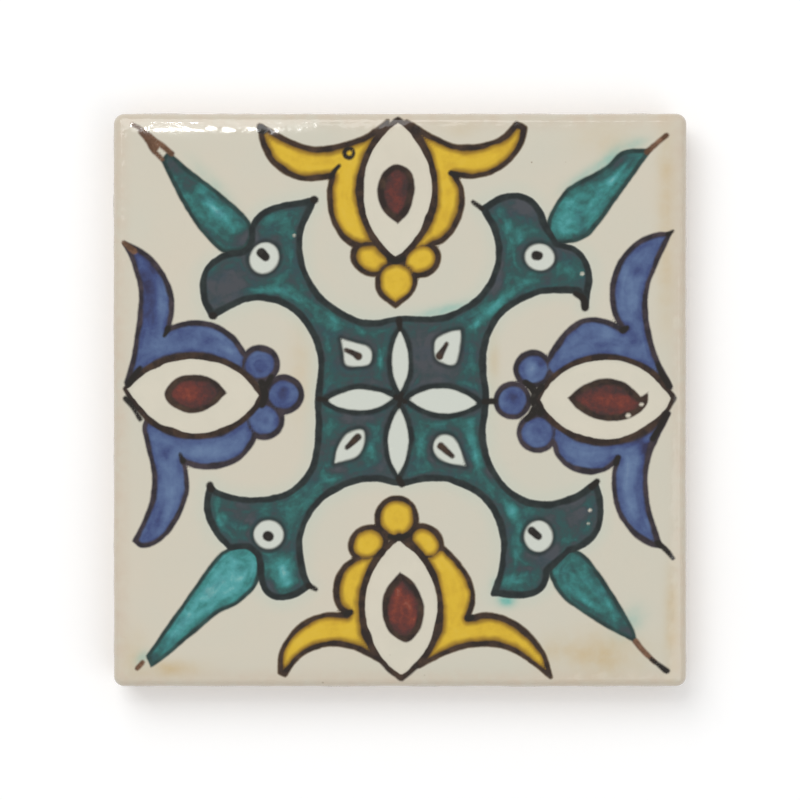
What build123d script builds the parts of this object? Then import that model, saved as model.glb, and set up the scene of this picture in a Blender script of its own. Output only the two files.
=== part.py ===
from build123d import *
import math
import os

# Hand-painted pool tile: one square slab of fired clay with a rolled, glazed edge.
# The origin is the middle of the unglazed back, which is bedded on the pool wall.
# +Z points out through the painted face, and the top of the pattern is towards +Y.

# Driving dimensions, in millimetres and degrees
TILE_WIDTH = 100.0  # finished tile at its widest, along X
TILE_LENGTH = 100.0  # finished tile at its widest, along Y
THICKNESS = 10.0  # from the back to the painted face
CORNER_RADIUS = 1.8  # corners of the cut slab, seen from the front
UNDERCUT_ANGLE = 3.0  # lean of the cut sides, in towards the back
ARRIS_RADIUS = 1.6  # rolled edge, where the glaze turns over from the face to the sides
BACK_CHAMFER = 0.6  # scraped edge between the sides and the back


def cut_slab():
    """The slab as it is cut: a rounded square that narrows from the face to the back.

    Rolling the face edge takes the sharp corner off a leaning side, so the slab is cut
    wider by what the roll takes away, and the finished tile keeps its width and length.
    """
    lean = math.radians(UNDERCUT_ANGLE)
    roll_allowance = ARRIS_RADIUS * (math.tan(lean) + 1 / math.cos(lean) - 1)
    outline = RectangleRounded(
        TILE_WIDTH + 2 * roll_allowance,
        TILE_LENGTH + 2 * roll_allowance,
        CORNER_RADIUS,
    )
    face_plane = Plane.XY.offset(THICKNESS)
    return extrude(face_plane * outline, amount=-THICKNESS, taper=UNDERCUT_ANGLE)


def roll_face_edge(slab):
    """Round the edge of the painted face all the way round."""
    face = slab.faces().sort_by(Axis.Z)[-1]
    return fillet(face.edges(), ARRIS_RADIUS)


def scrape_back_edge(slab):
    """Break the sharp edge of the back, so that the tile sits flat in its bed."""
    back = slab.faces().sort_by(Axis.Z)[0]
    return chamfer(back.edges(), BACK_CHAMFER)


tile = scrape_back_edge(roll_face_edge(cut_slab()))

os.makedirs("parts", exist_ok=True)
export_step(tile, "parts/tile.step")
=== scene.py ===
import math

import bpy
import numpy as np
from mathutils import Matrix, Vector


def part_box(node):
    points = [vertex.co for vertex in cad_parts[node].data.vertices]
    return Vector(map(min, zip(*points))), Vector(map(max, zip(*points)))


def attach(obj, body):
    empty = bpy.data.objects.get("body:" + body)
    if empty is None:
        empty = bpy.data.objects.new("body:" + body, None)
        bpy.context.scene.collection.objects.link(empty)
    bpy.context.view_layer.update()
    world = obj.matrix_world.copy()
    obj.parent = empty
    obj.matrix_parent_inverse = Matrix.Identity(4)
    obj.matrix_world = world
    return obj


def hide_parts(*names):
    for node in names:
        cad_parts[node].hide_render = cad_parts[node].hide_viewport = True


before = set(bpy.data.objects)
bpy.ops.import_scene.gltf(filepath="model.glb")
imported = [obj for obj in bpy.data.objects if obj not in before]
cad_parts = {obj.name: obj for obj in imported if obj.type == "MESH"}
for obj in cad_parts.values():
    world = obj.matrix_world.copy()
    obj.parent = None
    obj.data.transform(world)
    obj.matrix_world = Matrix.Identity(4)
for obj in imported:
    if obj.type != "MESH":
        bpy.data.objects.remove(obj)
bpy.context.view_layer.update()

# The slab is a square of buff clay, cut from a rolled sheet with a leaning blade, so that it narrows
# towards its back. The glaze has rounded the edge of the face, and the back edge was scraped by hand.
MM = 0.001
slab_low, slab_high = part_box("tile")
HALF_WIDTH = (slab_high.x - slab_low.x) / 2
THICKNESS = slab_high.z - slab_low.z
ARRIS_RADIUS = 1.6 * MM
CORNER_RADIUS = 1.8 * MM
UNDERCUT = math.radians(3.0)
BACK_CHAMFER = 0.6 * MM
BACK_RIM = 1.6 * MM
FACE_CELLS = 252
BACK_CELLS = 63
ROLL_STEPS = 8
SIDE_STEPS = 10
FLAT_HALF = HALF_WIDTH - ARRIS_RADIUS

edge_rows = [(FLAT_HALF, THICKNESS)]
for step in range(1, ROLL_STEPS + 1):
    turn = (math.pi / 2 + UNDERCUT) * step / ROLL_STEPS
    reach = FLAT_HALF + ARRIS_RADIUS * math.sin(turn)
    edge_rows.append((reach, THICKNESS - ARRIS_RADIUS * (1 - math.cos(turn))))
roll_foot_half, roll_foot_height = edge_rows[-1]
for step in range(1, SIDE_STEPS + 1):
    drop = (roll_foot_height - BACK_CHAMFER) * step / SIDE_STEPS
    edge_rows.append((roll_foot_half - drop * math.tan(UNDERCUT), roll_foot_height - drop))
back_half = edge_rows[-1][0] - BACK_CHAMFER
edge_rows.append((back_half, 0.0))

bpy.ops.object.select_all(action="DESELECT")
bpy.ops.mesh.primitive_grid_add(
    x_subdivisions=FACE_CELLS,
    y_subdivisions=FACE_CELLS,
    size=2 * FLAT_HALF,
    location=(0, 0, THICKNESS),
    calc_uvs=False,
)
tile = bpy.context.object
tile.name = "painted_tile"
tile.data.name = "painted_tile"
bpy.ops.object.transform_apply(location=True, rotation=False, scale=False)
bpy.ops.object.mode_set(mode="EDIT")
bpy.ops.mesh.select_mode(type="EDGE")
bpy.ops.mesh.select_all(action="SELECT")
bpy.ops.mesh.region_to_loop()
for (half, height), (next_half, next_height) in zip(edge_rows, edge_rows[1:]):
    bpy.ops.mesh.extrude_edges_move(TRANSFORM_OT_translate={"value": (0, 0, next_height - height)})
    spread = next_half / half
    bpy.ops.transform.resize(value=(spread, spread, 1), center_override=(0, 0, 0))
bpy.ops.mesh.select_all(action="DESELECT")
bpy.ops.mesh.primitive_grid_add(
    x_subdivisions=BACK_CELLS,
    y_subdivisions=BACK_CELLS,
    size=2 * (back_half - BACK_RIM),
    location=(0, 0, 0),
    calc_uvs=False,
)
bpy.ops.mesh.flip_normals()
bpy.ops.mesh.select_all(action="DESELECT")
bpy.ops.mesh.select_non_manifold()
bpy.ops.mesh.bridge_edge_loops()
bpy.ops.mesh.select_all(action="SELECT")
bpy.ops.mesh.normals_make_consistent(inside=False)
bpy.ops.object.mode_set(mode="OBJECT")


def vertex_places():
    """Where the tile's vertices are, in metres."""
    places = np.empty(3 * len(tile.data.vertices), np.float32)
    tile.data.vertices.foreach_get("co", places)
    return places.reshape(-1, 3).astype(float)


# The maps lay the face and its rolled edge out flat over most of a square, with the four sides in strips
# beside it and the back in the corner, so that the painting gets the finest share of a baked picture.
MAP_MARGIN = 0.005
FACE_SHARE = 0.775
BACK_SHARE = 0.205
STRIP_SHARE = 0.085
square = vertex_places()
row_halves = np.array([half for half, height in edge_rows])
row_heights = np.array([height for half, height in edge_rows])
row_lengths = np.append(0, np.cumsum(np.hypot(np.diff(row_halves), np.diff(row_heights))))
roll_length = row_lengths[ROLL_STEPS]
run_down = np.interp(-square[:, 2], -row_heights, row_lengths)
reach = np.abs(square[:, :2]).max(axis=1)
laid_flat = square[:, :2] * ((FLAT_HALF + run_down) / np.maximum(reach, FLAT_HALF))[:, None]
laid_flat[run_down == 0] = square[run_down == 0, :2]

corner_vertex = np.empty(len(tile.data.loops), np.int32)
tile.data.loops.foreach_get("vertex_index", corner_vertex)
face_corners = [len(face.vertices) for face in tile.data.polygons]
corner_face = np.repeat(np.arange(len(face_corners)), face_corners)
face_centre = np.empty(3 * len(tile.data.polygons), np.float32)
tile.data.polygons.foreach_get("center", face_centre)
corner_centre = face_centre.reshape(-1, 3)[corner_face]
on_back = corner_centre[:, 2] < BACK_CHAMFER / 4
on_side = ~on_back & (corner_centre[:, 2] < roll_foot_height)
atlas = MAP_MARGIN + FACE_SHARE * (0.5 + laid_flat[corner_vertex] / (2 * (FLAT_HALF + roll_length)))
back_places = square[corner_vertex, :2] * (-1, 1) / (2 * back_half)
atlas[on_back] = (1 - MAP_MARGIN - BACK_SHARE * (0.5 - back_places))[on_back]
depth = (run_down[corner_vertex] - roll_length) / (row_lengths[-1] - roll_length)
for strip, (axis, sign) in enumerate(((0, 1), (0, -1), (1, 1), (1, -1))):
    faces_out = corner_centre[:, axis] * sign >= np.abs(corner_centre[:, 1 - axis])
    mine = on_side & faces_out
    sideways = sign * square[corner_vertex, 1 - axis] / (2 * HALF_WIDTH + 2 * MM)
    along = MAP_MARGIN + FACE_SHARE * (0.5 + sideways)
    start = FACE_SHARE + 3 * MAP_MARGIN + (STRIP_SHARE + 2 * MAP_MARGIN) * (strip % 2)
    atlas[mine, axis] = start + STRIP_SHARE * depth[mine]
    atlas[mine, 1 - axis] = along[mine]
bake_map = tile.data.uv_layers.new(name="OFBake")
bake_map.data.foreach_set("uv", atlas.astype(np.float32).ravel())

# Hand finishing: the corners were rubbed round and the wet clay dried a little wavy. The glaze falls away
# softly towards the rim, runs down the sides and stops there in an uneven line with a thick lip.
rounded = square.copy()
straight = HALF_WIDTH - CORNER_RADIUS
past = np.abs(square[:, :2]) - straight
in_corner = np.all(past > 0, axis=1)
pull = past[in_corner].max(axis=1) / np.hypot(past[in_corner, 0], past[in_corner, 1])
rounded[in_corner, :2] = np.sign(square[in_corner, :2]) * (straight + past[in_corner] * pull[:, None])
tile.data.vertices.foreach_set("co", rounded.astype(np.float32).ravel())
tile.data.update()


def weigh(name, weights):
    """Mark how strongly a shaping step works on each vertex."""
    group = tile.vertex_groups.new(name=name)
    for vertex in np.flatnonzero(weights > 0):
        group.add([int(vertex)], float(weights[vertex]), "REPLACE")


def soft_step(values, start, end):
    """Rise from 0 at start to 1 at end, level at both ends."""
    share = np.clip((values - start) / (end - start), 0, 1)
    return share * share * (3 - 2 * share)


def swell(name, grain, height, middle):
    """Push the marked surface in and out by an uneven height, in lumps about as wide as the grain."""
    lumps = bpy.data.textures.new(name, "CLOUDS")
    lumps.noise_scale = grain
    lumps.noise_depth = 1
    shaping = tile.modifiers.new(name, "DISPLACE")
    shaping.texture = lumps
    shaping.texture_coords = "LOCAL"
    shaping.vertex_group = name
    shaping.strength = height
    shaping.mid_level = middle
    bpy.ops.object.modifier_apply(modifier=name)


GLAZE_RUN = 3.2 * MM
GLAZE_RUN_WAVER = 0.45 * MM
GLAZE_LIP = 0.22 * MM
PILLOW_RUN = 4.5 * MM
PILLOW_DROP = 0.32 * MM
around = np.arctan2(rounded[:, 1], rounded[:, 0])
run_line = np.sin(9 * around + 1) + 0.8 * np.sin(23 * around + 2) + 0.6 * np.sin(47 * around)
glaze_stop = THICKNESS - GLAZE_RUN + GLAZE_RUN_WAVER * run_line
glazed = soft_step(rounded[:, 2], glaze_stop - 0.5 * MM, glaze_stop + 0.3 * MM)
on_face = soft_step(rounded[:, 2], THICKNESS - 3 * MM, THICKNESS - ARRIS_RADIUS)
near_rim = soft_step(reach, HALF_WIDTH - 5 * MM, HALF_WIDTH - 1 * MM) * on_face
weigh("rim_pillow", np.clip((reach - FLAT_HALF) / PILLOW_RUN + 1, 0, 1) ** 2 * on_face)
weigh("glaze_lip", glazed * (1 - on_face))
weigh("glaze_swell", on_face)
weigh("rim_lumps", near_rim)
weigh("cut_side", (1 - on_face) * soft_step(rounded[:, 2], 0, 1 * MM))
weigh("clay_back", (rounded[:, 2] < BACK_CHAMFER / 4) * 1.0)
for name, direction, height in (("rim_pillow", "Z", -PILLOW_DROP), ("glaze_lip", "NORMAL", GLAZE_LIP)):
    shift = tile.modifiers.new(name, "DISPLACE")
    shift.vertex_group = name
    shift.direction = direction
    shift.strength = height
    shift.mid_level = 0.0
    bpy.ops.object.modifier_apply(modifier=name)
swell("glaze_swell", grain=17 * MM, height=0.16 * MM, middle=0.5)
swell("rim_lumps", grain=3.4 * MM, height=0.07 * MM, middle=0.5)
swell("cut_side", grain=4 * MM, height=0.35 * MM, middle=0.5)
swell("clay_back", grain=6 * MM, height=-0.3 * MM, middle=0.0)
bpy.ops.object.shade_smooth_by_angle(angle=math.radians(50))

# The brush: every shape on the face is one wet outline filled with a thin wash. The pattern is drawn in its
# own units. For each set of shapes the tile keeps a field, how far a spot of the face lies outside the ink in
# those units, which is below zero under the ink and the wash.
PATTERN_WIDTH = 103.6
PATTERN_UNIT = 2 * HALF_WIDTH / PATTERN_WIDTH
FAR = 4.0
RUN_STEPS = 8
LENS_STEPS = 25
OVAL_STEPS = 32
LAP = 0.8
face_spots = vertex_places()[:, :2] / PATTERN_UNIT
bare = np.full(len(face_spots), FAR)


def brush_run(points):
    """A smooth line through a few points, as one pull of the brush, without its last point."""
    path = np.array(points, float)
    knots = np.vstack((2 * path[0] - path[1], path, 2 * path[-1] - path[-2]))
    along = np.linspace(0, 1, RUN_STEPS, endpoint=False)[:, None]
    spans = []
    for before, start, end, after in zip(knots, knots[1:], knots[2:], knots[3:]):
        cubic = 3 * (start - end) + after - before
        square_term = 2 * before - 5 * start + 4 * end - after
        spans.append(start + along / 2 * (end - before + along * (square_term + along * cubic)))
    return np.vstack(spans)


def outline(*runs):
    """A closed outline of brush runs that meet at corners."""
    return np.vstack([brush_run(run) for run in runs])


def lens(tip, other_tip, left_bow, right_bow):
    """A pointed oval of two arcs, which bow out to the left and right of the way from tip to tip."""
    tip = np.array(tip, float)
    chord = np.array(other_tip, float) - tip
    half = np.hypot(*chord) / 2
    ahead = chord / (2 * half)
    left = np.array((-ahead[1], ahead[0]))
    along = np.linspace(-1, 1, LENS_STEPS)[:, None]
    sides = []
    for bow in (left_bow, -right_bow):
        radius = (half ** 2 + bow ** 2) / (2 * abs(bow))
        arc = np.sqrt(radius ** 2 - (half * along) ** 2) - radius + abs(bow)
        sides.append(tip + chord / 2 + ahead * half * along + left * arc * np.sign(bow))
    return np.vstack((sides[0], sides[1][::-1]))


def oval(x, y, long_radius, short_radius, turn=0.0):
    """A round cell, its long way turned by some degrees."""
    angle = np.linspace(0, 2 * math.pi, OVAL_STEPS, endpoint=False)
    lean = math.radians(turn)
    u = long_radius * np.cos(angle)
    v = short_radius * np.sin(angle)
    return np.column_stack(
        (x + u * math.cos(lean) - v * math.sin(lean), y + u * math.sin(lean) + v * math.cos(lean))
    )


def edge_distance(shape):
    """How far each spot lies from a closed outline, below zero inside it."""
    near = np.all((face_spots > shape.min(0) - FAR) & (face_spots < shape.max(0) + FAR), axis=1)
    spots = face_spots[near]
    nearest = np.full(len(spots), FAR ** 2)
    inside = np.zeros(len(spots), bool)
    for start, end in zip(shape, np.roll(shape, -1, axis=0)):
        way = end - start
        if not way.any():
            continue
        offset = spots - start
        along = np.clip(offset @ way / (way @ way), 0, 1)
        nearest = np.minimum(nearest, ((offset - along[:, None] * way) ** 2).sum(1))
        if way[1]:
            level = (start[1] > spots[:, 1]) != (end[1] > spots[:, 1])
            inside ^= level & (offset[:, 0] < way[0] * offset[:, 1] / way[1])
    distance = np.full(len(face_spots), FAR)
    distance[near] = np.where(inside, -1, 1) * np.sqrt(nearest)
    return distance


def paint(cells, kept_clear):
    """One colour's field. Each cell stops at what is kept clear, and laps under the cells before it."""
    colour = bare
    taken = kept_clear
    for cell in cells:
        distance = np.maximum(edge_distance(cell), -taken)
        colour = np.minimum(colour, distance)
        taken = np.minimum(taken, distance + LAP)
    return colour


def strokes(pulls):
    """Short free strokes, each given by its points and its half width at the start and at the end."""
    field = bare
    for points, start_half, end_half in pulls:
        path = np.vstack((brush_run(points), points[-1]))
        near = np.all((face_spots > path.min(0) - FAR) & (face_spots < path.max(0) + FAR), axis=1)
        spots = face_spots[near]
        nearest = np.full(len(spots), FAR)
        for place, (start, end) in enumerate(zip(path, path[1:])):
            way = end - start
            offset = spots - start
            along = np.clip(offset @ way / (way @ way), 0, 1)
            half = start_half + (end_half - start_half) * (place + along) / (len(path) - 1)
            nearest = np.minimum(nearest, np.hypot(*(offset - along[:, None] * way).T) - half)
        distance = bare.copy()
        distance[near] = nearest
        field = np.minimum(field, distance)
    return field


def dabs(touches):
    """Soft oval touches, each given by x, y, length, width, turn in degrees and strength."""
    field = np.zeros(len(face_spots))
    for x, y, length, width, turn, strength in touches:
        lean = math.radians(turn)
        offset = face_spots - (x, y)
        along = offset @ (math.cos(lean), math.sin(lean))
        across = offset @ (-math.sin(lean), math.cos(lean))
        field += strength * np.exp(-(along / length) ** 2 - (across / width) ** 2)
    return field


def keep_on_tile(name, values):
    """Keep one number for each vertex, for the glaze to read."""
    layer = tile.data.attributes.new(name, "FLOAT", "POINT")
    layer.data.foreach_set("value", values.astype(np.float32))


# The cross in the middle is painted in copper green, and a long leaf grows from the end of each arm towards
# a corner. Four lens petals, four drops and four round buds stay white in the cross, so their fields are
# below zero outside them, where the green lies.
petals = [
    lens((0.05, 1.6), (0.0, 12.4), 1.5, 1.5),
    lens((-0.1, -1.5), (-0.3, -13.4), 1.7, 1.9),
    lens((-1.2, 0.35), (-13.1, -0.1), 2.0, 1.75),
    lens((1.6, 0.15), (13.9, -0.6), 2.3, 2.15),
]
drops = [
    outline([(-10.6, 11.0), (-8.0, 10.2), (-5.9, 9.6), (-5.2, 8.4), (-5.6, 6.6), (-7.5, 6.2), (-9.7, 6.4),
             (-10.1, 8.5), (-10.6, 11.0)]),
    outline([(10.8, 12.5), (9.0, 12.2), (6.8, 11.1), (6.3, 9.5), (6.6, 7.6), (8.0, 6.7), (9.8, 6.5),
             (10.5, 8.2), (10.9, 11.0), (10.8, 12.5)]),
    outline([(-11.7, -11.3), (-11.2, -8.8), (-9.8, -6.4), (-8.0, -5.5), (-6.6, -5.7), (-6.6, -8.0),
             (-8.0, -10.2), (-11.7, -11.3)]),
    outline([(11.8, -11.8), (9.0, -11.3), (7.0, -10.4), (6.1, -8.6), (6.9, -6.7), (8.6, -6.4), (10.2, -7.6),
             (11.8, -11.8)]),
]
buds = [
    oval(-24.5, 25.6, 2.8, 2.5, 60),
    oval(25.2, 25.8, 2.6, 2.3, -10),
    oval(-23.7, -24.3, 2.6, 2.5),
    oval(25.0, -24.6, 2.7, 2.5, 90),
]
cross = outline(
    [(-15.4, 36.2), (-17.9, 30.0), (-17.5, 24.0), (-14.3, 18.6), (-9.0, 14.9), (-4.5, 14.0), (0.0, 14.7),
     (7.5, 14.9), (13.8, 18.1), (17.2, 23.3), (17.5, 29.0), (14.9, 34.6)],
    [(14.9, 34.6), (17.3, 36.2), (20.4, 37.0), (23.4, 36.2), (25.4, 34.1), (26.5, 31.0)],
    [(26.5, 31.0), (28.3, 28.2)],
    [(28.3, 28.2), (31.2, 27.4), (33.4, 25.3), (34.3, 22.4), (34.0, 19.6), (33.6, 17.0)],
    [(33.6, 17.0), (32.6, 18.9), (31.0, 19.6), (24.8, 19.3), (19.0, 16.2), (15.7, 11.0), (15.2, 5.0),
     (15.7, 0.0), (15.1, -7.0), (17.0, -13.0), (21.3, -17.5), (27.0, -18.7), (31.8, -17.2), (35.4, -14.9)],
    [(35.4, -14.9), (36.2, -18.0), (36.2, -21.5), (35.0, -24.6), (32.5, -26.6), (30.4, -27.2)],
    [(30.4, -27.2), (26.7, -30.8)],
    [(26.7, -30.8), (26.2, -33.0), (24.5, -34.8), (21.5, -35.4), (16.8, -35.0)],
    [(16.8, -35.0), (18.4, -29.6), (18.2, -23.3), (15.0, -17.6), (9.2, -14.6), (4.5, -14.3), (0.0, -15.1),
     (-4.5, -14.3), (-9.2, -15.1), (-15.0, -18.7), (-17.9, -24.5), (-17.5, -30.4), (-16.4, -33.5)],
    [(-16.4, -33.5), (-18.8, -35.2), (-21.8, -35.8), (-24.2, -34.6), (-25.1, -32.4), (-25.3, -29.5)],
    [(-25.3, -29.5), (-25.7, -27.9), (-27.6, -26.5), (-30.8, -26.7)],
    [(-30.8, -26.7), (-33.2, -24.0), (-34.7, -21.0), (-35.0, -18.0), (-34.3, -15.6)],
    [(-34.3, -15.6), (-32.0, -17.1), (-26.0, -18.0), (-19.8, -16.5), (-15.9, -12.0), (-14.9, -6.0),
     (-14.9, 0.5), (-14.4, 7.0), (-16.4, 13.0), (-21.1, 17.4), (-27.2, 18.2), (-34.0, 15.1)],
    [(-34.0, 15.1), (-35.3, 17.8), (-35.7, 20.9), (-34.8, 23.8), (-32.5, 25.8), (-30.3, 26.6)],
    [(-30.3, 26.6), (-28.2, 27.0), (-26.9, 28.6), (-26.8, 31.0)],
    [(-26.8, 31.0), (-26.0, 32.6), (-24.0, 34.3), (-21.5, 35.1), (-15.4, 36.2)],
)
leaves = [
    outline(
        [(-26.8, 29.6), (-27.4, 32.3), (-31.0, 35.9), (-38.0, 41.4), (-41.8, 44.6)],
        [(-41.8, 44.6), (-43.0, 43.3)],
        [(-43.0, 43.3), (-38.3, 34.2), (-33.3, 27.8), (-30.5, 26.7), (-28.0, 27.4), (-26.8, 29.6)],
    ),
    outline(
        [(26.6, 30.0), (27.2, 33.5), (30.6, 38.3), (37.0, 41.8), (40.2, 44.8), (45.3, 45.2)],
        [(45.3, 45.2), (40.5, 38.5), (35.5, 31.5), (33.0, 29.2), (30.0, 28.4), (27.6, 28.6), (26.6, 30.0)],
    ),
    outline(
        [(-25.3, -29.4), (-25.8, -27.8), (-27.8, -26.5), (-31.0, -27.0), (-34.0, -29.7), (-39.5, -37.5),
         (-43.4, -43.0), (-45.6, -46.2)],
        [(-45.6, -46.2), (-44.9, -48.1)],
        [(-44.9, -48.1), (-40.7, -44.9), (-33.5, -38.8), (-29.5, -36.7), (-26.5, -34.0), (-25.4, -31.5),
         (-25.3, -29.4)],
    ),
    outline(
        [(26.8, -29.5), (29.0, -27.3), (31.5, -27.2), (34.0, -28.9), (38.3, -35.0), (41.5, -40.5),
         (42.6, -43.6)],
        [(42.6, -43.6), (37.0, -40.7), (30.0, -36.0), (27.5, -32.5), (26.8, -29.5)],
    ),
]
CROSS_LINE_HALF = 0.35
LEAF_LINE_HALF = 0.24
CROSS_TONE = -0.3
LEAF_TONES = (0.1, 0.3, 0.75, 0.12)
# Here the loaded brush went over the green again, darker below zero, or dragged it out, paler above zero.
cross_touches = [
    (-31, 21, 4, 3, 20, -1), (-23, 33, 2, 1, 35, 0.35), (-19.5, 31, 1.2, 2.2, 0, 0.3),
    (-24, 19.7, 3.5, 0.8, 5, 0.6), (-18, 18, 2.5, 1.2, -40, 0.5), (-12.3, 13.8, 1.4, 1.5, 0, 0.65),
    (-4.2, 9.6, 1, 1.2, 0, -0.3), (-26.5, 28.7, 1.5, 2, 0, -0.8), (22, 35, 3, 1.5, 0, -0.8),
    (19.5, 31.5, 0.7, 2.2, 20, 0.6), (21.3, 30.5, 0.8, 1.6, 20, 0.4), (17.5, 23, 1.5, 4, 0, -0.7),
    (30, 23.5, 2.5, 1.5, 0, 0.25), (24, 21.5, 2.2, 0.8, 10, 0.5), (17.8, 17.4, 5, 1, 42, 0.95),
    (13.5, 13.4, 1.2, 0.7, 40, 0.7), (5, 8, 3.5, 4.5, 0, -0.9), (9, 4, 3, 1.5, 0, -0.25),
    (13, 8.5, 0.9, 3, 0, 0.4), (-3.6, 7, 0.5, 1.2, 10, 1), (-8, 13, 2.5, 0.7, 0, 0.1),
    (-7, 4.3, 4, 1, 0, -0.35), (-12.8, -5.6, 1.2, 1.2, 0, 0.5), (-5, -8.8, 1, 1.8, 20, 0.6),
    (-8, -3.3, 4, 0.9, 0, -0.7), (-3.3, -12.5, 1.2, 1.2, 0, -0.6), (-11, -12.5, 1, 0.8, 0, -0.6),
    (4, -8, 1.2, 3, 0, 0.3), (13, -6, 1, 4, 5, 0.45), (11, -3.8, 3, 0.8, 0, 0.25),
    (-18.2, -18, 4, 1.6, 45, 0.5), (-22, -19.5, 3.5, 0.8, 0, 0.3), (-28, -21, 2.5, 1.5, 0, -0.5),
    (-32.4, -21.6, 1, 2.4, 20, 0.55), (-32.8, -18, 0.6, 1.5, 0, 0.4), (-28, -23, 0.8, 0.5, 0, 0.6),
    (-21.5, -30.5, 2.5, 3, 0, 0.6), (-20.9, -31.4, 1.3, 2.6, 10, 0.9),
    (-23.4, -33.4, 0.8, 1.2, 0, -0.6), (14, -11, 0.9, 3.5, 15, 0.5), (20.5, -20.5, 1, 3.5, 20, 0.6),
    (21, -27, 1, 3, -10, 0.5), (32, -20.5, 3.5, 3, 0, -0.65), (34, -22.5, 0.8, 2, 0, 0.3),
    (22.5, -30.6, 2.4, 0.6, 5, -0.6), (21.2, -32.4, 3, 1.6, 0, 0.45), (27.5, -27.5, 1.5, 1.5, 0, -1),
]
leaf_touches = [
    (-32.8, 34, 4.2, 0.7, -50, 0.9), (-38, 38.7, 1.8, 1.2, 0, -0.6), (-41, 42.5, 2, 1.2, -45, -0.7),
    (-28.5, 29, 2, 2, 0, -0.8), (30, 33, 3, 2.5, 50, 0.25), (38.5, 40, 5, 0.7, 50, 0.6),
    (41, 44, 2.5, 1.2, 45, -0.7), (38.5, 42, 2, 0.8, 40, -0.6), (-32.5, -33, 6, 2, 50, 0.3),
    (-38, -38, 5, 0.7, 50, 0.3), (-35, -40, 6, 0.9, 43, -0.5), (-28.5, -28.5, 1.5, 2, 60, -0.3),
    (-43.9, -45.9, 2.5, 1.6, 45, -0.9), (32, -31, 3, 2, -50, 0.2), (31.3, -30.3, 1.3, 0.9, -40, -0.6),
    (33.8, -34, 1.6, 0.8, -50, -0.5), (37.5, -36.5, 3.5, 0.5, -55, 0.6),
    (34.5, -37, 2.5, 0.5, -35, 0.5), (41, -41.5, 2, 1, -45, -0.8),
]
keep_on_tile("petal_edge", -paint(petals, bare))
keep_on_tile("bud_edge", -paint(drops + buds, bare))
cross_field = paint([cross], bare)
leaf_field = paint(leaves, cross_field + CROSS_LINE_HALF - LEAF_LINE_HALF)
keep_on_tile("cross_edge", cross_field - CROSS_LINE_HALF)
keep_on_tile("leaf_edge", leaf_field - LEAF_LINE_HALF)
green_tone = np.full(len(face_spots), CROSS_TONE)
for leaf, tone in zip(leaves, LEAF_TONES):
    green_tone += (tone - CROSS_TONE) * soft_step(-edge_distance(leaf), -0.6, 0.6)
keep_on_tile("green_tone", green_tone + dabs(cross_touches) + dabs(leaf_touches))

# Each palmette holds a white eye with a red-brown almond, ringed by a heavy line of manganese ink.
# The eyes are drawn first, and the coloured beads and wings are then filled in around them.
eyes = [
    lens((-0.9, 25.2), (-0.3, 50.8), 6.7, 6.9),
    lens((-0.2, -24.6), (0.2, -50.4), 7.3, 6.9),
    lens((-24.6, 0.9), (-49.6, 2.0), 8.0, 6.6),
    lens((24.6, 0.1), (49.5, 0.3), 7.6, 7.9),
]
almonds = [
    outline([(-0.4, 31.8), (1.6, 34.0), (2.6, 37.5), (2.2, 40.8), (0.3, 42.4), (-1.6, 42.3), (-3.4, 40.5),
             (-4.1, 37.5), (-3.0, 34.0), (-0.4, 31.8)]),
    outline([(0.0, -31.0), (2.4, -32.8), (4.0, -36.0), (4.3, -38.6), (3.5, -41.5), (1.7, -43.6), (0.0, -43.4),
             (-2.2, -41.5), (-3.2, -38.0), (-2.6, -34.3), (0.0, -31.0)]),
    outline([(-31.2, 1.3), (-33.5, 3.6), (-37.0, 4.6), (-40.5, 3.9), (-42.5, 1.2), (-41.0, -1.2),
             (-37.5, -2.4), (-34.0, -1.3), (-31.2, 1.3)]),
    outline([(30.2, 0.4), (33.0, 2.6), (37.0, 3.9), (40.4, 3.2), (42.3, 1.8)],
            [(42.3, 1.8), (43.5, 0.6)],
            [(43.5, 0.6), (44.9, 1.5)],
            [(44.9, 1.5), (44.6, -0.8), (42.5, -2.8), (39.0, -3.8), (35.0, -3.3), (32.0, -1.6), (30.2, 0.4)]),
]
EYE_LINE_HALF = 0.43
RED_LINE = 0.8
red_touches = [
    (-0.7, 38.8, 1.4, 1.2, 0, -0.4), (-0.9, 36.2, 0.8, 2.4, 0, 0.3), (1.5, 37.5, 0.8, 2.5, 0, -0.5),
    (-0.3, -34.6, 0.7, 0.9, 0, 1.2), (1.6, -37, 1, 1.6, 20, 0.9), (-0.6, -38.4, 0.9, 1.6, 0, 0.8),
    (2.4, -39.6, 0.7, 1.2, 0, 0.9), (0.5, -38, 2.4, 4, 0, 0.3), (1.6, -33.4, 1.2, 1.2, 0, -0.9),
    (-38.2, 1.2, 1.6, 1.3, 0, 0.6), (-35, 1.4, 1.8, 1.2, 0, -0.5), (-37, -0.9, 3, 0.6, 0, -0.3),
    (37, 0.2, 3.2, 1.2, 0, 0.3), (40.4, -0.6, 1.3, 1, 0, 0.6), (35, 1.9, 1.4, 0.6, 20, -0.5),
    (42.4, -1.4, 0.8, 0.8, 0, -0.4),
]
eye_field = paint(eyes, bare)
keep_on_tile("eye_edge", eye_field - EYE_LINE_HALF)
keep_on_tile("red_edge", paint(almonds, bare))
keep_on_tile("red_tone", dabs(red_touches))
eye_rim = eye_field + EYE_LINE_HALF

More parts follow.
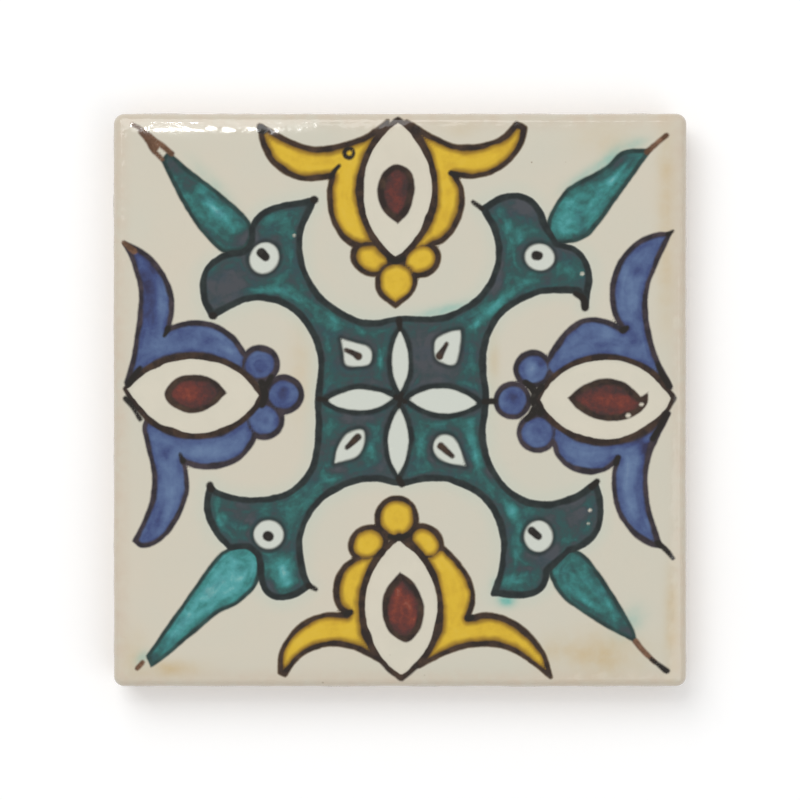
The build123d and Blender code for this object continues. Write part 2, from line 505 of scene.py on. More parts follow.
# The top and bottom palmettes are filled with antimony yellow: three beads at the tip and two wings,
# each with a horn that curls out to the edge of the tile.
yellow_beads = [
    outline([(-0.8, 16.9), (1.8, 19.2), (2.8, 21.6), (2.0, 24.0), (-0.7, 25.2), (-3.4, 24.1), (-4.1, 21.6),
             (-3.5, 19.2), (-0.8, 16.9)]),
    oval(-5.1, 25.6, 3.6, 2.9, -25),
    oval(3.8, 25.3, 3.4, 2.8, 25),
    oval(-0.6, -21.4, 3.8, 3.6, 90),
    oval(-5.7, -25.9, 3.4, 2.9, 30),
    oval(4.5, -25.7, 3.3, 2.8, -40),
]
yellow_wings = [
    outline(
        [(-2.2, 50.4), (-7.0, 47.1), (-14.0, 45.4), (-18.5, 46.1), (-25.4, 49.6)],
        [(-25.4, 49.6), (-24.6, 45.8), (-22.9, 42.9), (-20.1, 40.8), (-16.5, 39.9), (-12.4, 40.3)],
        [(-12.4, 40.3), (-12.8, 37.0), (-12.3, 33.5), (-11.1, 30.5), (-9.3, 28.5), (-7.0, 27.6)],
        [(-7.0, 27.6), (-4.0, 26.6), (-2.0, 28.3)],
    ),
    outline(
        [(1.2, 50.3), (8.0, 46.4), (12.0, 45.7), (16.0, 46.2), (19.0, 47.7), (21.0, 50.0)],
        [(21.0, 50.0), (22.7, 49.2)],
        [(22.7, 49.2), (22.0, 46.4), (20.0, 43.6), (17.0, 41.4), (13.5, 40.4), (9.9, 40.6)],
        [(9.9, 40.6), (11.1, 38.3), (11.3, 36.0), (10.7, 33.0), (9.3, 30.4), (7.6, 28.7), (5.6, 28.0)],
        [(5.6, 28.0), (3.2, 26.8), (1.0, 28.5)],
    ),
    outline(
        [(-3.2, -47.2), (-8.0, -44.8), (-12.0, -44.1), (-15.5, -44.7), (-18.8, -46.8), (-20.8, -49.6)],
        [(-20.8, -49.6), (-21.7, -49.2)],
        [(-21.7, -49.2), (-21.5, -46.0), (-19.6, -42.4), (-16.8, -39.9), (-13.2, -38.8), (-9.6, -38.7)],
        [(-9.6, -38.7), (-11.2, -37.0), (-11.7, -34.6), (-11.2, -32.0), (-9.9, -30.0), (-8.0, -28.6)],
        [(-8.0, -28.6), (-5.0, -27.4), (-2.0, -28.6)],
    ),
    outline(
        [(3.4, -48.0), (8.5, -45.5), (12.0, -44.4), (16.0, -44.1), (20.0, -45.0), (24.0, -47.4),
         (27.2, -50.0)],
        [(27.2, -50.0), (26.0, -46.2), (23.6, -42.7), (20.2, -40.0), (16.2, -38.8), (12.3, -39.3)],
        [(12.3, -39.3), (13.2, -36.0), (12.5, -32.6), (10.6, -29.6), (8.0, -26.8)],
        [(8.0, -26.8), (4.6, -26.8), (2.0, -28.4)],
    ),
]
YELLOW_LINE_HALF = 0.4
yellow_field = paint(yellow_beads + yellow_wings, eye_rim - YELLOW_LINE_HALF)
keep_on_tile("yellow_edge", yellow_field - YELLOW_LINE_HALF)

# The left and right palmettes are filled with cobalt blue in the same way. The blue is thin where the
# brush was dragged, and it pools nearly black in the left horn and in the tip beads.
blue_beads = [
    oval(-21.0, 1.0, 3.4, 3.3),
    oval(-25.3, 6.4, 3.3, 3.2),
    oval(-24.5, -3.6, 3.3, 3.3),
    oval(20.3, -0.1, 3.1, 3.1),
    oval(24.0, 5.6, 3.2, 3.1),
    oval(24.8, -5.9, 3.4, 3.3),
]
blue_wings = [
    outline(
        [(-49.4, 3.0), (-47.9, 9.0), (-46.8, 17.5), (-47.1, 21.5), (-48.3, 25.2), (-49.8, 28.3)],
        [(-49.8, 28.3), (-47.5, 27.3), (-45.3, 25.8), (-43.0, 23.0), (-41.5, 19.8), (-41.1, 16.5),
         (-41.8, 12.8)],
        [(-41.8, 12.8), (-39.5, 13.7), (-36.5, 14.1), (-33.0, 13.3), (-30.0, 11.2), (-28.2, 8.8)],
        [(-28.2, 8.8), (-26.8, 7.0), (-27.5, 4.0)],
    ),
    outline(
        [(-45.6, -3.2), (-46.1, -5.6), (-44.7, -11.5), (-44.4, -15.0), (-45.0, -19.0), (-46.4, -22.5),
         (-48.0, -25.4)],
        [(-48.0, -25.4), (-46.6, -26.4), (-44.0, -25.6), (-41.7, -23.5), (-39.8, -20.5), (-38.6, -17.0),
         (-38.5, -14.0), (-39.2, -11.0)],
        [(-39.2, -11.0), (-36.5, -12.1), (-33.0, -12.1), (-29.6, -10.9), (-27.2, -8.6), (-26.2, -6.6)],
        [(-26.2, -6.6), (-26.0, -4.4), (-27.8, -2.0)],
    ),
    outline(
        [(49.0, 2.2), (46.1, 8.0), (45.0, 12.0), (44.4, 16.5), (44.6, 20.0), (45.7, 23.5), (48.7, 30.0)],
        [(48.7, 30.0), (46.0, 29.8), (43.3, 28.6), (40.7, 26.3), (38.8, 23.0), (38.2, 19.5), (38.6, 16.0),
         (40.3, 12.7)],
        [(40.3, 12.7), (38.0, 13.9), (35.5, 14.6), (33.0, 14.3), (30.6, 12.8), (28.5, 10.4), (27.1, 8.2)],
        [(27.1, 8.2), (26.4, 6.0), (28.5, 3.0)],
    ),
    outline(
        [(48.6, -2.4), (45.4, -9.0), (44.5, -12.5), (44.4, -16.0), (45.0, -20.0), (47.0, -26.4)],
        [(47.0, -26.4), (45.0, -26.0), (42.5, -24.3), (40.3, -21.6), (38.9, -18.0), (38.6, -14.0),
         (39.1, -11.1)],
        [(39.1, -11.1), (36.5, -12.7), (33.5, -13.1), (30.3, -11.9), (28.4, -9.7), (27.8, -8.0)],
        [(27.8, -8.0), (27.0, -6.0), (28.0, -3.0)],
    ),
]
blue_touches = [
    (-45.2, 21, 1.4, 5, 5, -0.9), (-43, 17.5, 0.9, 4, 0, 0.3), (-45.3, 14.5, 1.4, 3, 0, -0.5),
    (-48, 26.5, 1.5, 1, -45, -0.3), (-36.5, 11.3, 4, 1.2, 0, -0.25), (-33, 12, 2, 0.6, -25, 0.3),
    (-30.5, 8.8, 1.5, 0.8, -40, 0.5), (-21.3, 1.2, 1.3, 1.6, 0, -0.9), (-25.3, 6.2, 1.6, 1.5, 0, -0.6),
    (-24.5, -3.8, 1.3, 1, 0, -0.4), (-42.5, -9.5, 1.5, 1.5, 0, -0.5), (-34, -9.2, 5, 1, 5, 0.45),
    (-41.4, -18, 1, 4, -5, 0.45), (-43.5, -21, 0.7, 2.5, -20, -0.6), (41.5, 20, 0.9, 4, 5, 0.35),
    (42.8, 23.5, 1.3, 1.5, -30, -0.6), (45.3, 28, 1.5, 1, 40, -0.2), (42, 11.5, 1.5, 1.5, 0, -0.5),
    (33.6, 12, 2.2, 1.2, 15, -0.35), (37.6, 12.4, 1.4, 0.8, 0, 0.4), (37, 10, 1.2, 0.6, 0, -0.5),
    (20.5, 0.3, 1.4, 1.4, 0, -0.9), (25, -5.8, 1.3, 1.3, 0, -0.4), (23.6, 5.6, 1.2, 1.6, 0, 0.7),
    (25.4, 6.6, 0.8, 0.8, 0, -0.4), (44.2, -8.6, 1.8, 1.4, -40, -1.1), (41.3, -12.5, 1, 3, 0, 0.4),
    (33, -10.3, 4, 1, -10, 0.3), (41.6, -19, 0.9, 4, 10, 0.25), (43.4, -21, 0.7, 3, 12, -0.4),
]
BLUE_LINE_HALF = 0.38
blue_field = paint(blue_beads + blue_wings, eye_rim - BLUE_LINE_HALF)
keep_on_tile("blue_edge", blue_field - BLUE_LINE_HALF)
keep_on_tile("blue_tone", dabs(blue_touches))

# Last come the free strokes of ink: dots in the buds, flicks in the drops, hooks where two curves meet, and
# thin tails at the tips of the leaves, which the kiln has burnt to bare brown. One round bubble has left a
# ring, and a few small white dots are painted highlights, glints put into the colour of the glaze.
ink_pulls = [
    ([(-25.0, 26.6), (-24.3, 25.8)], 0.9, 0.8),
    ([(24.6, 26.1), (25.0, 26.0)], 0.9, 0.85),
    ([(-23.9, -24.5), (-23.6, -24.7)], 0.9, 0.85),
    ([(23.8, -23.6), (25.0, -24.6)], 0.75, 0.7),
    ([(-0.7, 0.5), (0.9, -0.3)], 0.5, 0.45),
    ([(0.3, 1.1), (-0.2, -1.0)], 0.45, 0.45),
    ([(0.0, 12.7), (-0.2, 14.4)], 0.45, 0.6),
    ([(-13.3, 0.0), (-14.7, 0.2)], 0.42, 0.5),
    ([(-25.1, 49.0), (-24.7, 48.7)], 0.85, 0.75),
    ([(-12.4, 40.3), (-11.7, 41.5), (-11.0, 42.3)], 0.55, 0.4),
    ([(9.2, 41.0), (10.3, 40.5)], 0.55, 0.55),
    ([(40.2, 12.6), (41.0, 13.0)], 0.6, 0.5),
    ([(39.0, -11.4), (39.3, -10.4)], 0.6, 0.6),
    ([(-41.9, 12.9), (-42.5, 11.6)], 0.55, 0.4),
    ([(-39.2, -11.0), (-39.7, -9.8)], 0.55, 0.4),
    ([(-9.8, -38.7), (-8.9, -38.3)], 0.6, 0.6),
    ([(12.2, -39.4), (12.9, -39.2)], 0.55, 0.55),
    ([(14.7, 34.6), (13.2, 35.8)], 0.5, 0.42),
    ([(-16.4, -33.5), (-15.2, -34.2)], 0.5, 0.42),
    ([(-15.5, 36.2), (-15.3, 36.1)], 0.7, 0.7),
    ([(-33.9, 15.2), (-33.7, 15.2)], 0.7, 0.7),
    ([(31.6, 19.2), (33.0, 18.3), (33.4, 16.7)], 0.5, 0.75),
    ([(34.6, -15.6), (35.6, -14.7)], 0.6, 0.6),
    ([(-34.3, -15.4), (-34.1, -16.0)], 0.7, 0.7),
    ([(15.2, -0.3), (17.0, -0.2)], 0.6, 0.6),
    ([(-0.2, -14.2), (0.3, -15.2)], 0.6, 0.6),
    ([(25.6, 2.4), (24.0, 0.1), (25.4, -2.2)], 0.6, 0.7),
    ([(22.7, 3.2), (23.7, 2.3), (24.2, 1.6)], 0.55, 0.8),
    ([(22.9, -3.4), (23.8, -2.5), (24.3, -1.7)], 0.55, 0.8),
    ([(-25.0, 3.2), (-24.4, 1.0), (-24.9, -0.9)], 0.65, 0.65),
    ([(-23.2, 4.2), (-24.0, 2.8)], 0.5, 0.6),
    ([(-49.0, 2.9), (-47.9, 4.6), (-46.9, 5.8)], 0.55, 0.45),
    ([(48.6, 2.5), (47.3, 4.7), (46.5, 6.4)], 0.6, 0.5),
    ([(48.2, -2.5), (46.7, -5.2), (45.6, -7.0)], 0.6, 0.55),
    ([(-2.0, 25.6), (-0.8, 25.0), (0.6, 25.5)], 0.5, 0.5),
    ([(-1.9, -24.6), (-0.4, -24.9), (1.4, -24.4)], 0.5, 0.5),
    ([(46.5, -25.8), (48.0, -27.0), (49.3, -28.6)], 0.5, 0.4),
    ([(48.5, 30.0), (49.3, 30.5)], 0.5, 0.3),
    ([(-49.6, 0.3), (-48.3, -1.2), (-46.9, -3.5)], 0.5, 0.45),
    ([(45.4, -46.8), (46.8, -47.9), (48.2, -49.0)], 0.45, 0.55),
]
flick_pulls = [
    ([(-9.7, 9.0), (-8.3, 8.4), (-7.5, 7.9)], 0.45, 0.7),
    ([(8.4, 10.1), (7.1, 7.9)], 0.45, 0.7),
    ([(-7.6, -6.7), (-9.6, -8.6)], 0.65, 0.5),
    ([(7.3, -8.3), (9.4, -10.1)], 0.65, 0.55),
]
BUBBLE_PLACE = (-9.2, 44.6)
BUBBLE_RADIUS = 0.85
bubble_turns = np.linspace(0, 2 * math.pi, 9)
bubble = [
    (BUBBLE_PLACE[0] + BUBBLE_RADIUS * math.cos(turn), BUBBLE_PLACE[1] + BUBBLE_RADIUS * math.sin(turn))
    for turn in bubble_turns
]
ink_pulls.append((bubble, 0.4, 0.4))
tail_pulls = [
    ([(-41.2, 44.5), (-43.8, 46.6), (-46.0, 48.4), (-48.3, 49.8)], 0.5, 0.42),
    ([(-42.9, 43.4), (-44.5, 45.1), (-45.6, 47.0)], 0.42, 0.5),
    ([(-44.2, 45.7), (-46.9, 48.4)], 0.75, 0.5),
    ([(44.6, 44.8), (48.1, 47.8)], 0.55, 0.5),
    ([(42.6, -43.6), (44.0, -45.4), (46.0, -47.3)], 0.55, 0.5),
    ([(-48.0, 26.8), (-48.9, 27.6), (-49.9, 28.4)], 0.6, 0.42),
    ([(-46.5, -47.4), (-47.5, -48.5)], 0.45, 0.4),
]
# Small white dots laid into the colours: painted highlights, glints on the glaze.
painted_glints = [
    oval(43.6, -0.8, 0.6, 0.5), oval(41.2, -2.8, 0.65, 0.6), oval(-19.1, 29.7, 0.45, 0.42),
    oval(32.9, 22.8, 0.55, 0.5), oval(34.3, -19.9, 0.5, 0.48), oval(34.0, -22.3, 0.4, 0.4),
]
keep_on_tile("ink_edge", strokes(ink_pulls))
keep_on_tile("flick_edge", strokes(flick_pulls))
keep_on_tile("painted_glint_edge", paint(painted_glints, bare))
keep_on_tile("tail_edge", strokes(tail_pulls))

# The kiln left its marks: iron from the clay stains the glaze ochre near the edges, and some copper green
# has drifted out of the painted outlines.
ochre_stains = [
    (37, 47, 5, 3, 0, 0.25), (48, 38, 1.5, 12, 0, 0.5), (11, 49, 3, 1.5, 0, 0.25),
    (36, -46, 8, 4, 0, 0.55), (49, -40, 1.2, 10, 0, 0.5), (-41, -48.5, 5, 1.5, 0, 0.6),
    (-48, -46, 2.5, 4, 0, 0.3), (28, -45, 4, 2, 0, 0.2), (48, 20, 1.5, 8, 0, 0.35),
    (-18, 5, 2, 8, 0, 0.25), (17, 7, 1, 5, 0, 0.3),
]
copper_drifts = [
    (-33.5, 38.5, 6, 1.5, -48, 0.35), (38.2, 43.6, 3.6, 1.3, 42, 0.75), (32.5, 40, 4, 1.1, 34, 0.5),
    (43, 46.3, 2, 1, 20, 0.4), (41.5, -40, 2, 3, -45, 0.5), (19.3, -36.2, 1.5, 1.1, 0, 1.2),
    (8, 16.2, 5, 0.9, 15, 0.7), (-46.5, -46.5, 1.5, 1, 45, 0.5), (17, -33.5, 0.8, 1.2, 0, 0.4),
]
keep_on_tile("ochre_stain", dabs(ochre_stains))
keep_on_tile("copper_drift", dabs(copper_drifts))
keep_on_tile("thin_glaze", soft_step(reach, HALF_WIDTH - 4 * MM, HALF_WIDTH - 0.6 * MM))
keep_on_tile("bare_clay", 1 - glazed)

# The glaze is an opaque tin white over the clay, with the colours melted into it. It is glossy and a
# little uneven. Below its lip the sides are bare clay, and so is the back.
glaze = bpy.data.materials.new("painted_glaze")
glaze.use_nodes = True
glaze.node_tree.nodes.clear()
tree = glaze.node_tree


def pigment(red, green, blue):
    """A colour as the eye reads it, 0 to 255 a channel, turned into linear light."""
    shares = [value / 255 for value in (red, green, blue)]
    linear = [share / 12.92 if share < 0.04 else ((share + 0.055) / 1.055) ** 2.4 for share in shares]
    return (*linear, 1.0)


def add_node(tree, kind, inputs, **options):
    """Add a node, set its options, and set or link its inputs."""
    node = tree.nodes.new(kind)
    for name, value in options.items():
        setattr(node, name, value)
    for socket, value in inputs.items():
        if isinstance(value, bpy.types.NodeSocket):
            tree.links.new(value, node.inputs[socket])
        else:
            node.inputs[socket].default_value = value
    return node


def work_out(tree, operation, first, second=0.0):
    """One sum on one or two values."""
    return add_node(tree, "ShaderNodeMath", {0: first, 1: second}, operation=operation).outputs[0]


def ease(tree, value, start, end):
    """Rise from 0 at start to 1 at end."""
    inputs = {"Value": value, "From Min": start, "From Max": end}
    return add_node(tree, "ShaderNodeMapRange", inputs, interpolation_type="SMOOTHSTEP").outputs["Result"]


def drift(tree, grain, fine, low, high, place=None):
    """An uneven value from low to high, in patches about as wide as the grain in millimetres."""
    if place is None:
        place = add_node(tree, "ShaderNodeTexCoord", {}).outputs["Object"]
    patches = {
        "Vector": place, "Scale": 1 / (grain * MM), "Detail": fine, "Roughness": 0.55, "Distortion": 0.25,
    }
    cloud = add_node(tree, "ShaderNodeTexNoise", patches).outputs["Fac"]
    span = {"Value": cloud, "From Min": 0.25, "From Max": 0.75, "To Min": low, "To Max": high}
    return add_node(tree, "ShaderNodeMapRange", span).outputs["Result"]


def lay_over(tree, share, under, over):
    """Lay one colour over another."""
    return add_node(tree, "ShaderNodeMix", {0: share, 6: under, 7: over}, data_type="RGBA").outputs[2]


def start_group(name, inputs, outputs):
    """An empty node group with number sockets, and its two end nodes."""
    group = bpy.data.node_groups.new(name, "ShaderNodeTree")
    for socket in inputs:
        group.interface.new_socket(socket, in_out="INPUT", socket_type="NodeSocketFloat")
    for socket in outputs:
        group.interface.new_socket(socket, in_out="OUTPUT", socket_type="NodeSocketFloat")
    return group, group.nodes.new("NodeGroupInput").outputs, group.nodes.new("NodeGroupOutput").inputs


def kept(name):
    """A number that is kept on the tile."""
    return add_node(tree, "ShaderNodeAttribute", {}, attribute_name=name).outputs["Fac"]


# A drawn line has a crisp outer side, and an inner side that bleeds into the wash. Its weight swells and
# thins with the hand, and it trembles a little.
LINE_TREMBLE = 0.11
LINE_CRISP = 0.26
brush_line, given, result = start_group("brush_line", ("Edge", "Width", "Bleed"), ("Line",))
tremble = drift(brush_line, grain=2.6, fine=2, low=-LINE_TREMBLE, high=LINE_TREMBLE)
trembling = work_out(brush_line, "ADD", given["Edge"], tremble)
hand_weight = drift(brush_line, grain=6, fine=2, low=-1.35, high=-0.6)
inner_side = work_out(brush_line, "MULTIPLY", given["Width"], hand_weight)
bleed_end = work_out(brush_line, "SUBTRACT", inner_side, given["Bleed"])
outer = ease(brush_line, trembling, LINE_CRISP, -LINE_CRISP)
inner = ease(brush_line, trembling, bleed_end, inner_side)
body = work_out(brush_line, "MULTIPLY", outer, inner)
density = drift(brush_line, grain=1.1, fine=3, low=0.97, high=1.03)
brush_line.links.new(work_out(brush_line, "MULTIPLY", body, density), result["Line"])


def line_of(edge, width, bleed):
    """The ink of one set of outlines."""
    inputs = {"Edge": edge, "Width": width, "Bleed": bleed}
    return add_node(tree, "ShaderNodeGroup", inputs, node_tree=brush_line).outputs["Line"]


def ink_of(thick, thin):
    """Ink that is thick in places and watery in others."""
    watery = drift(tree, grain=2.2, fine=3, low=-0.35, high=0.75)
    return lay_over(tree, watery, pigment(*thick), pigment(*thin))


# A wash is darkest where it pooled along its lines and palest where the brush was nearly dry. The brush
# followed the outlines, so its streaks do too.
STREAK_LENGTH = 5
STREAK_WIDTH = 1.5
brush_wash, given, result = start_group("brush_wash", ("Edge", "Tone", "Pool", "Streaks"), ("Cover", "Tone"))
spot = add_node(brush_wash, "ShaderNodeTexCoord", {}).outputs["Object"]
from_line = work_out(brush_wash, "MULTIPLY", given["Edge"], STREAK_LENGTH * MM / STREAK_WIDTH)
beside = add_node(brush_wash, "ShaderNodeCombineXYZ", {"Z": from_line}).outputs["Vector"]
along = add_node(brush_wash, "ShaderNodeVectorMath", {0: spot, 1: beside}, operation="ADD").outputs["Vector"]
streaks = drift(brush_wash, grain=STREAK_LENGTH, fine=1, low=-0.38, high=0.38, place=along)
blots = drift(brush_wash, grain=1.8, fine=3, low=-0.42, high=0.42)
mottle = work_out(brush_wash, "MULTIPLY", work_out(brush_wash, "ADD", streaks, blots), given["Streaks"])
pooled = work_out(brush_wash, "MULTIPLY", ease(brush_wash, given["Edge"], -2.6, -0.6), given["Pool"])
uneven = work_out(brush_wash, "SUBTRACT", mottle, pooled)
brush_wash.links.new(ease(brush_wash, given["Edge"], 0.0, -0.4), result["Cover"])
brush_wash.links.new(work_out(brush_wash, "ADD", given["Tone"], uneven), result["Tone"])

TONE_LOW = -1.2
TONE_HIGH = 1.8


def wash_of(edge, tone, pool, streaks, shades):
    """How far one colour covers the glaze, and its shade from pooled to nearly dry."""
    inputs = {"Edge": edge, "Tone": tone, "Pool": pool, "Streaks": streaks}
    group = add_node(tree, "ShaderNodeGroup", inputs, node_tree=brush_wash)
    place = {"Value": group.outputs["Tone"], "From Min": TONE_LOW, "From Max": TONE_HIGH}
    share = add_node(tree, "ShaderNodeMapRange", place).outputs["Result"]
    ramp = add_node(tree, "ShaderNodeValToRGB", {"Fac": share})
    for number, (tone_value, colour) in enumerate(shades):
        at = (tone_value - TONE_LOW) / (TONE_HIGH - TONE_LOW)
        stop = ramp.color_ramp.elements[number] if number < 2 else ramp.color_ramp.elements.new(at)
        stop.position = at
        stop.color = pigment(*colour)
    return group.outputs["Cover"], ramp.outputs["Color"]


# The white ground has warm and cool patches, is thin and browner at the rim, and holds a few specks of iron.
# Copper fumes tint it beside the cross, and the white shapes inside the cross are the coolest.
TIN_WHITE = pigment(213, 204, 186)
TIN_WHITE_COOL = pigment(207, 204, 188)
TIN_WHITE_THIN = pigment(208, 194, 175)
IRON_SPECK = pigment(150, 134, 112)
COPPER_FUME = pigment(192, 204, 190)
RESERVE_WHITE = pigment(208, 212, 202)
EYE_WHITE = pigment(219, 212, 194)
OCHRE = pigment(200, 172, 120)
COPPER_BLUSH = pigment(118, 182, 170)
SPECK_SPACING = 6 * MM
SPECK_REACH = 0.045
cross_edge = kept("cross_edge")
eye_edge = kept("eye_edge")
thin_glaze = kept("thin_glaze")
patchy = drift(tree, grain=18, fine=4, low=0.0, high=1.0)
colour = lay_over(tree, patchy, TIN_WHITE, TIN_WHITE_COOL)
thin_share = work_out(tree, "MULTIPLY", thin_glaze, drift(tree, grain=2.2, fine=4, low=0.2, high=1.1))
colour = lay_over(tree, thin_share, colour, TIN_WHITE_THIN)
place = add_node(tree, "ShaderNodeTexCoord", {}).outputs["Object"]
speck_cells = add_node(tree, "ShaderNodeTexVoronoi", {"Vector": place, "Scale": 1 / SPECK_SPACING}).outputs
speck_lot = add_node(tree, "ShaderNodeSeparateColor", {"Color": speck_cells["Color"]}).outputs["Red"]
specked = ease(tree, speck_cells["Distance"], SPECK_REACH, SPECK_REACH / 2)
speck_share = work_out(tree, "MULTIPLY", specked, ease(tree, speck_lot, 0.6, 0.9))
colour = lay_over(tree, speck_share, colour, IRON_SPECK)
fume_patches = drift(tree, grain=4, fine=2, low=0.2, high=0.5)
fume_share = work_out(tree, "MULTIPLY", ease(tree, cross_edge, 3.2, 0.0), fume_patches)
colour = lay_over(tree, fume_share, colour, COPPER_FUME)
colour = lay_over(tree, ease(tree, cross_edge, 0.6, -0.6), colour, RESERVE_WHITE)
eye_patches = drift(tree, grain=5, fine=3, low=0.3, high=0.9)
eye_share = work_out(tree, "MULTIPLY", ease(tree, eye_edge, -0.8, -1.8), eye_patches)
colour = lay_over(tree, eye_share, colour, EYE_WHITE)
ochre_patches = drift(tree, grain=3, fine=3, low=0.4, high=1.2)
colour = lay_over(tree, work_out(tree, "MULTIPLY", kept("ochre_stain"), ochre_patches), colour, OCHRE)
blush_patches = drift(tree, grain=2, fine=2, low=0.6, high=1.1)
colour = lay_over(tree, work_out(tree, "MULTIPLY", kept("copper_drift"), blush_patches), colour, COPPER_BLUSH)

# The washes: antimony yellow, cobalt blue, copper green and iron red. Each runs from its darkest pool to its
# palest drag of the brush, and the green has patches of slate in it.
YELLOW_SHADES = [(-1.0, (176, 128, 30)), (0.0, (219, 181, 48)), (0.6, (222, 188, 70)), (1.4, (226, 204, 130))]
BLUE_SHADES = [
    (-1.0, (46, 46, 78)), (-0.5, (60, 74, 120)), (0.0, (82, 102, 142)), (0.5, (98, 121, 157)),
    (1.2, (136, 153, 176)),
]
GREEN_SHADES = [
    (-1.1, (71, 74, 79)), (-0.7, (56, 68, 71)), (-0.3, (42, 80, 79)), (0.0, (46, 101, 97)),
    (0.5, (58, 134, 131)), (1.0, (82, 161, 162)), (1.7, (148, 196, 190)),
]
RED_SHADES = [
    (-1.0, (58, 42, 40)), (-0.3, (82, 44, 40)), (0.3, (104, 48, 40)), (0.9, (128, 58, 42)),
    (1.6, (150, 96, 80)),
]
SLATE_GREEN = pigment(44, 68, 82)
yellow_edge = kept("yellow_edge")
yellow_cover, yellow = wash_of(yellow_edge, tone=0.0, pool=0.3, streaks=0.45, shades=YELLOW_SHADES)
colour = lay_over(tree, yellow_cover, colour, yellow)
blue_edge = kept("blue_edge")
blue_cover, blue = wash_of(blue_edge, tone=kept("blue_tone"), pool=0.4, streaks=0.65, shades=BLUE_SHADES)
colour = lay_over(tree, blue_cover, colour, blue)
leaf_edge = kept("leaf_edge")
petal_edge = kept("petal_edge")
bud_edge = kept("bud_edge")
around_white = work_out(tree, "MAXIMUM", petal_edge, bud_edge)
green_edge = work_out(tree, "MAXIMUM", work_out(tree, "MINIMUM", cross_edge, leaf_edge), around_white)
green_cover, green = wash_of(green_edge, tone=kept("green_tone"), pool=0.3, streaks=0.85, shades=GREEN_SHADES)
green = lay_over(tree, drift(tree, grain=3.4, fine=3, low=-0.4, high=0.4), green, SLATE_GREEN)
colour = lay_over(tree, green_cover, colour, green)
red_edge = kept("red_edge")
red_tone = work_out(tree, "ADD", kept("red_tone"), drift(tree, grain=1.0, fine=2, low=-0.45, high=0.45))
red_cover, red = wash_of(red_edge, tone=red_tone, pool=0.5, streaks=0.8, shades=RED_SHADES)
colour = lay_over(tree, red_cover, colour, red)

# The inks go over the washes: brown manganese round the yellow and the eyes, with a halo where it ran into
# the yellow, violet round the blue, and near black green round the cross and its white shapes.
BROWN_HALO = pigment(118, 82, 22)
BROWN_INK = ink_of((38, 26, 20), (82, 60, 44))
VIOLET_INK = ink_of((38, 32, 38), (78, 66, 72))
LEAF_INK = ink_of((30, 50, 48), (50, 84, 80))
GREEN_INK = ink_of((25, 33, 33), (48, 58, 56))
TAIL_BROWN = ink_of((90, 62, 42), (160, 118, 92))
DARK_INK = pigment(28, 23, 17)
halo = work_out(tree, "MULTIPLY", line_of(yellow_edge, width=1.1, bleed=1.0), 0.75)
colour = lay_over(tree, halo, colour, BROWN_HALO)
colour = lay_over(tree, line_of(yellow_edge, width=2 * YELLOW_LINE_HALF, bleed=0.5), colour, BROWN_INK)
colour = lay_over(tree, line_of(blue_edge, width=2 * BLUE_LINE_HALF, bleed=0.6), colour, VIOLET_INK)
colour = lay_over(tree, line_of(leaf_edge, width=2 * LEAF_LINE_HALF, bleed=0.6), colour, LEAF_INK)
bud_line = line_of(work_out(tree, "MAXIMUM", cross_edge, bud_edge), width=0.35, bleed=0.8)
colour = lay_over(tree, work_out(tree, "MULTIPLY", bud_line, 0.7), colour, GREEN_INK)
petal_line = line_of(work_out(tree, "MAXIMUM", cross_edge, petal_edge), width=0.65, bleed=0.7)
colour = lay_over(tree, petal_line, colour, GREEN_INK)
colour = lay_over(tree, line_of(cross_edge, width=2 * CROSS_LINE_HALF, bleed=0.7), colour, GREEN_INK)
colour = lay_over(tree, line_of(eye_edge, width=2 * EYE_LINE_HALF, bleed=0.35), colour, BROWN_INK)
colour = lay_over(tree, line_of(red_edge, width=RED_LINE, bleed=0.7), colour, BROWN_INK)
colour = lay_over(tree, line_of(kept("flick_edge"), width=3.0, bleed=0.3), colour, BROWN_INK)
colour = lay_over(tree, line_of(kept("tail_edge"), width=2.0, bleed=0.3), colour, TAIL_BROWN)
colour = lay_over(tree, line_of(kept("ink_edge"), width=3.0, bleed=0.3), colour, DARK_INK)
# The white dots are painted highlights: glints laid into the glaze colour.
colour = lay_over(tree, ease(tree, kept("painted_glint_edge"), 0.1, -0.5), colour, EYE_WHITE)

# The bare clay is buff and grainy. The glaze beside it is smooth, with a faint orange peel that is stronger
# at the rim, where it lies thin.
BUFF_CLAY = pigment(205, 183, 150)
BUFF_CLAY_DARK = pigment(178, 150, 118)
CLAY_ROUGHNESS = 0.85
RELIEF = 0.1 * MM
bare_clay = kept("bare_clay")
clay = lay_over(tree, drift(tree, grain=1.4, fine=4, low=0.0, high=1.0), BUFF_CLAY, BUFF_CLAY_DARK)
colour = lay_over(tree, bare_clay, colour, clay)
gloss = drift(tree, grain=9, fine=3, low=0.05, high=0.12)
roughness = add_node(tree, "ShaderNodeMix", {0: bare_clay, 2: gloss, 3: CLAY_ROUGHNESS}).outputs[0]
clay_grain = work_out(tree, "MULTIPLY", bare_clay, drift(tree, grain=0.7, fine=4, low=-1, high=1))
rim_peel = work_out(tree, "MULTIPLY", thin_glaze, drift(tree, grain=1.1, fine=1, low=-0.045, high=0.045))
peel = work_out(tree, "ADD", drift(tree, grain=2.2, fine=2, low=-0.05, high=0.05), rim_peel)
height = work_out(tree, "ADD", clay_grain, peel)
bump = {"Height": height, "Strength": 1.0, "Distance": RELIEF}
relief = add_node(tree, "ShaderNodeBump", bump).outputs["Normal"]
surface = add_node(
    tree,
    "ShaderNodeBsdfPrincipled",
    {"Base Color": colour, "Roughness": roughness, "Normal": relief, "IOR": 1.5},
)
add_node(tree, "ShaderNodeOutputMaterial", {"Surface": surface.outputs["BSDF"]})
tile.data.materials.append(glaze)
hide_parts("tile")
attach(tile, "root")

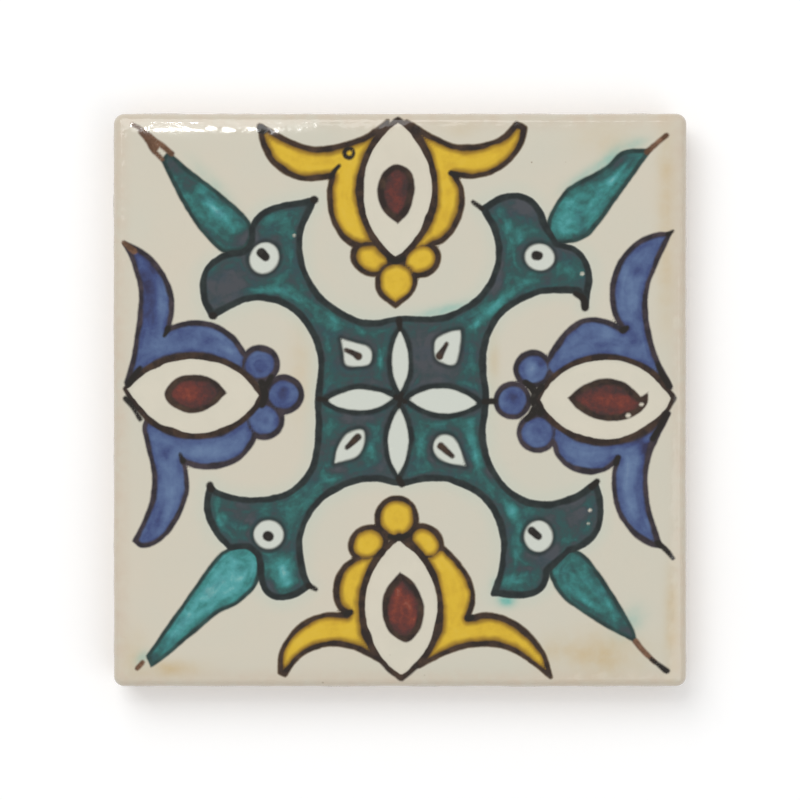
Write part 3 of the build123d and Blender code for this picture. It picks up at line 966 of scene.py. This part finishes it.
# The studio: a pale floor that the tile lies on, a wide soft box beyond the top of the pattern, a weaker one
# across from it, a small lamp that puts the glint on the top rim, and a camera straight above.
PAPER_LIFT = 0.16
SKY_LIGHT = 0.53
bpy.ops.object.select_all(action="DESELECT")
bpy.ops.mesh.primitive_plane_add(size=6)
floor = bpy.context.object
floor.name = "studio_floor"
paper = bpy.data.materials.new("studio_paper")
paper.use_nodes = True
paper.node_tree.nodes.clear()
paper_tree = paper.node_tree
light_path = paper_tree.nodes.new("ShaderNodeLightPath").outputs
seen = work_out(paper_tree, "MAXIMUM", light_path["Is Camera Ray"], light_path["Is Glossy Ray"])
lift = work_out(paper_tree, "MULTIPLY", seen, PAPER_LIFT)
sheet = add_node(
    paper_tree,
    "ShaderNodeBsdfPrincipled",
    {"Base Color": (0.9, 0.9, 0.9, 1), "Roughness": 0.9, "Specular IOR Level": 0.0,
     "Emission Color": (1, 1, 1, 1), "Emission Strength": lift},
)
add_node(paper_tree, "ShaderNodeOutputMaterial", {"Surface": sheet.outputs["BSDF"]})
floor.data.materials.append(paper)


def soft_box(name, place, size, power):
    """A square lamp that faces the tile."""
    bpy.ops.object.light_add(type="AREA", location=place)
    lamp = bpy.context.object
    lamp.name = name
    lamp.data.size = size
    lamp.data.energy = power
    lamp.rotation_euler = (-lamp.location).to_track_quat("-Z", "Y").to_euler()


soft_box("key_box", (-0.375, 0.6, 0.97), 0.8, 6.1)
soft_box("fill_box", (0.56, -0.42, 0.97), 0.8, 2.4)
soft_box("catch_light", (-0.08, 0.26, 0.75), 0.022, 0.13)
world = bpy.data.worlds.new("studio")
bpy.context.scene.world = world
world.use_nodes = True
sky = world.node_tree.nodes["Background"].inputs
sky["Color"].default_value = (1, 1, 1, 1)
sky["Strength"].default_value = SKY_LIGHT

LENS = 150.0
SENSOR = 36.0
VIEW_WIDTH = 0.1394
camera_data = bpy.data.cameras.new("camera")
camera_data.lens = LENS
camera_data.sensor_width = SENSOR
camera = bpy.data.objects.new("camera", camera_data)
bpy.context.scene.collection.objects.link(camera)
camera.location = (0, 0, THICKNESS + VIEW_WIDTH * LENS / SENSOR)
bpy.context.scene.camera = camera
bpy.context.scene.view_settings.view_transform = "Standard"
